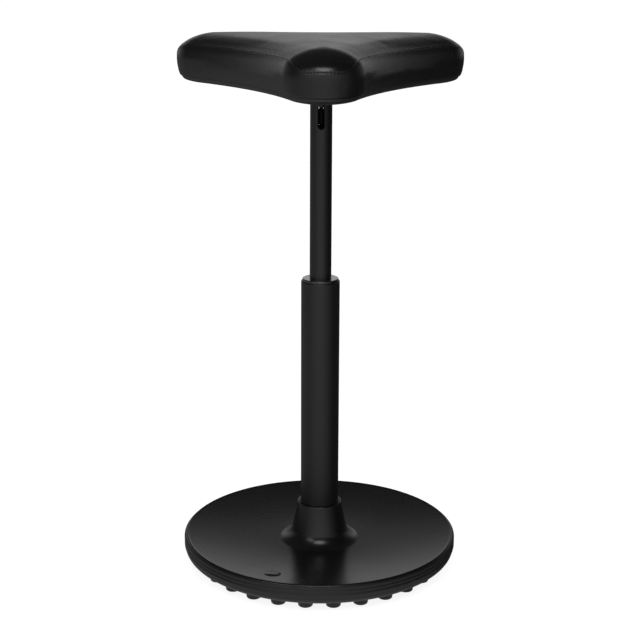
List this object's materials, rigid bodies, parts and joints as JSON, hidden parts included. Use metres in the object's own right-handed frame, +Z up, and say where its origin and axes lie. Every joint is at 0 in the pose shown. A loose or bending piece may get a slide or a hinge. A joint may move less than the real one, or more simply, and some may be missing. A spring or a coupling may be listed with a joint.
{
  "type": "perch stool",
  "caption": "Height-adjustable perch stool: padded three-lobed seat on a telescopic gas lift over a round dished base with a ridged, nubbed rubber sole.",
  "frame": {"origin": "on the floor, on the column's axis, at the foot of the centre pad", "axes": "+Z up along the column, -Y towards the seat's nose lobe (the front), +X to the right seen from the front"},
  "size_m": [0.3748, 0.3902, 0.688],
  "materials": {
    "leatherette": "embossed, satin",
    "foam": "open cell",
    "plywood": "sanded",
    "seat_shell_plastic": "moulded, fine grain",
    "base_plastic": "moulded, satin",
    "grip_plastic": "moulded, fine grain",
    "bush_plastic": "moulded",
    "sole_rubber": "moulded",
    "seal_rubber": "moulded",
    "black_tube": "powder coated, satin",
    "black_lift": "powder coated, smooth",
    "plate_steel": "black oxide",
    "ground_steel": "ground",
    "zinc_steel": "zinc plated"
  },
  "bodies": {
    "stand": {"sole": "sole_rubber", "centre_pad": "sole_rubber", "base_plate": "plate_steel", "column_socket": "plate_steel", "dish_cover": "base_plastic", "base_screws": "zinc_steel", "stand_tube": "black_tube", "tube_end_plate": "plate_steel", "guide_bush": "bush_plastic", "thrust_race_lower": "ground_steel"},
    "ball_set": {"ball_cage": "zinc_steel", "bearing_balls": "ground_steel"},
    "rod": {"thrust_race_upper": "ground_steel", "bump_stop": "seal_rubber", "piston_rod": "ground_steel", "rod_washer": "zinc_steel", "retaining_clip": "zinc_steel", "piston": "ground_steel", "piston_seal": "seal_rubber", "piston_nut": "zinc_steel"},
    "lift": {"lift_tube": "black_lift", "rod_gland": "ground_steel", "gland_seal": "seal_rubber", "gas_cylinder": "ground_steel", "cylinder_head": "zinc_steel", "head_ring": "zinc_steel", "seat_plate": "black_tube", "hub_collar": "black_tube", "lever_bracket": "black_tube", "lever_pin": "zinc_steel", "seat_board": "plywood", "seat_foam": "foam", "seat_cover": "leatherette", "plate_bolts": "zinc_steel", "tee_nuts": "zinc_steel", "seat_shell": "seat_shell_plastic", "shell_screws": "zinc_steel"},
    "valve": {"valve_pin": "ground_steel", "release_rod": "zinc_steel"},
    "lever": {"release_lever": "black_tube", "lever_grip": "grip_plastic"}
  },
  "joints": [
    {"name": "seat_swivel", "type": "hinge", "parent": "stand", "child": "rod", "pos_m": [0, 0, 0.03], "axis": [0, 0, 1], "continuous": true},
    {"name": "ball_roll", "type": "hinge", "parent": "stand", "child": "ball_set", "pos_m": [0, 0, 0.027], "axis": [0, 0, 1], "continuous": true},
    {"name": "height_slide", "type": "slide", "parent": "rod", "child": "lift", "axis": [0, 0, 1], "range_m": [-0.195, 0]},
    {"name": "lever_pivot", "type": "hinge", "parent": "lift", "child": "lever", "pos_m": [0, 0.024, 0.606], "axis": [1, 0, 0], "range_deg": [0, 6], "stiffness_Nm_per_rad": 8, "springref_deg": -5.73},
    {"name": "valve_stroke", "type": "slide", "parent": "lift", "child": "valve", "axis": [0, 0, -1], "range_m": [0, 0.0026]}
  ],
  "couplings": [
    {"joint": "ball_roll", "follows": "seat_swivel", "ratio": 0.5},
    {"joint": "valve_stroke", "follows": "lever_pivot", "m_per_rad": 0.024}
  ]
}
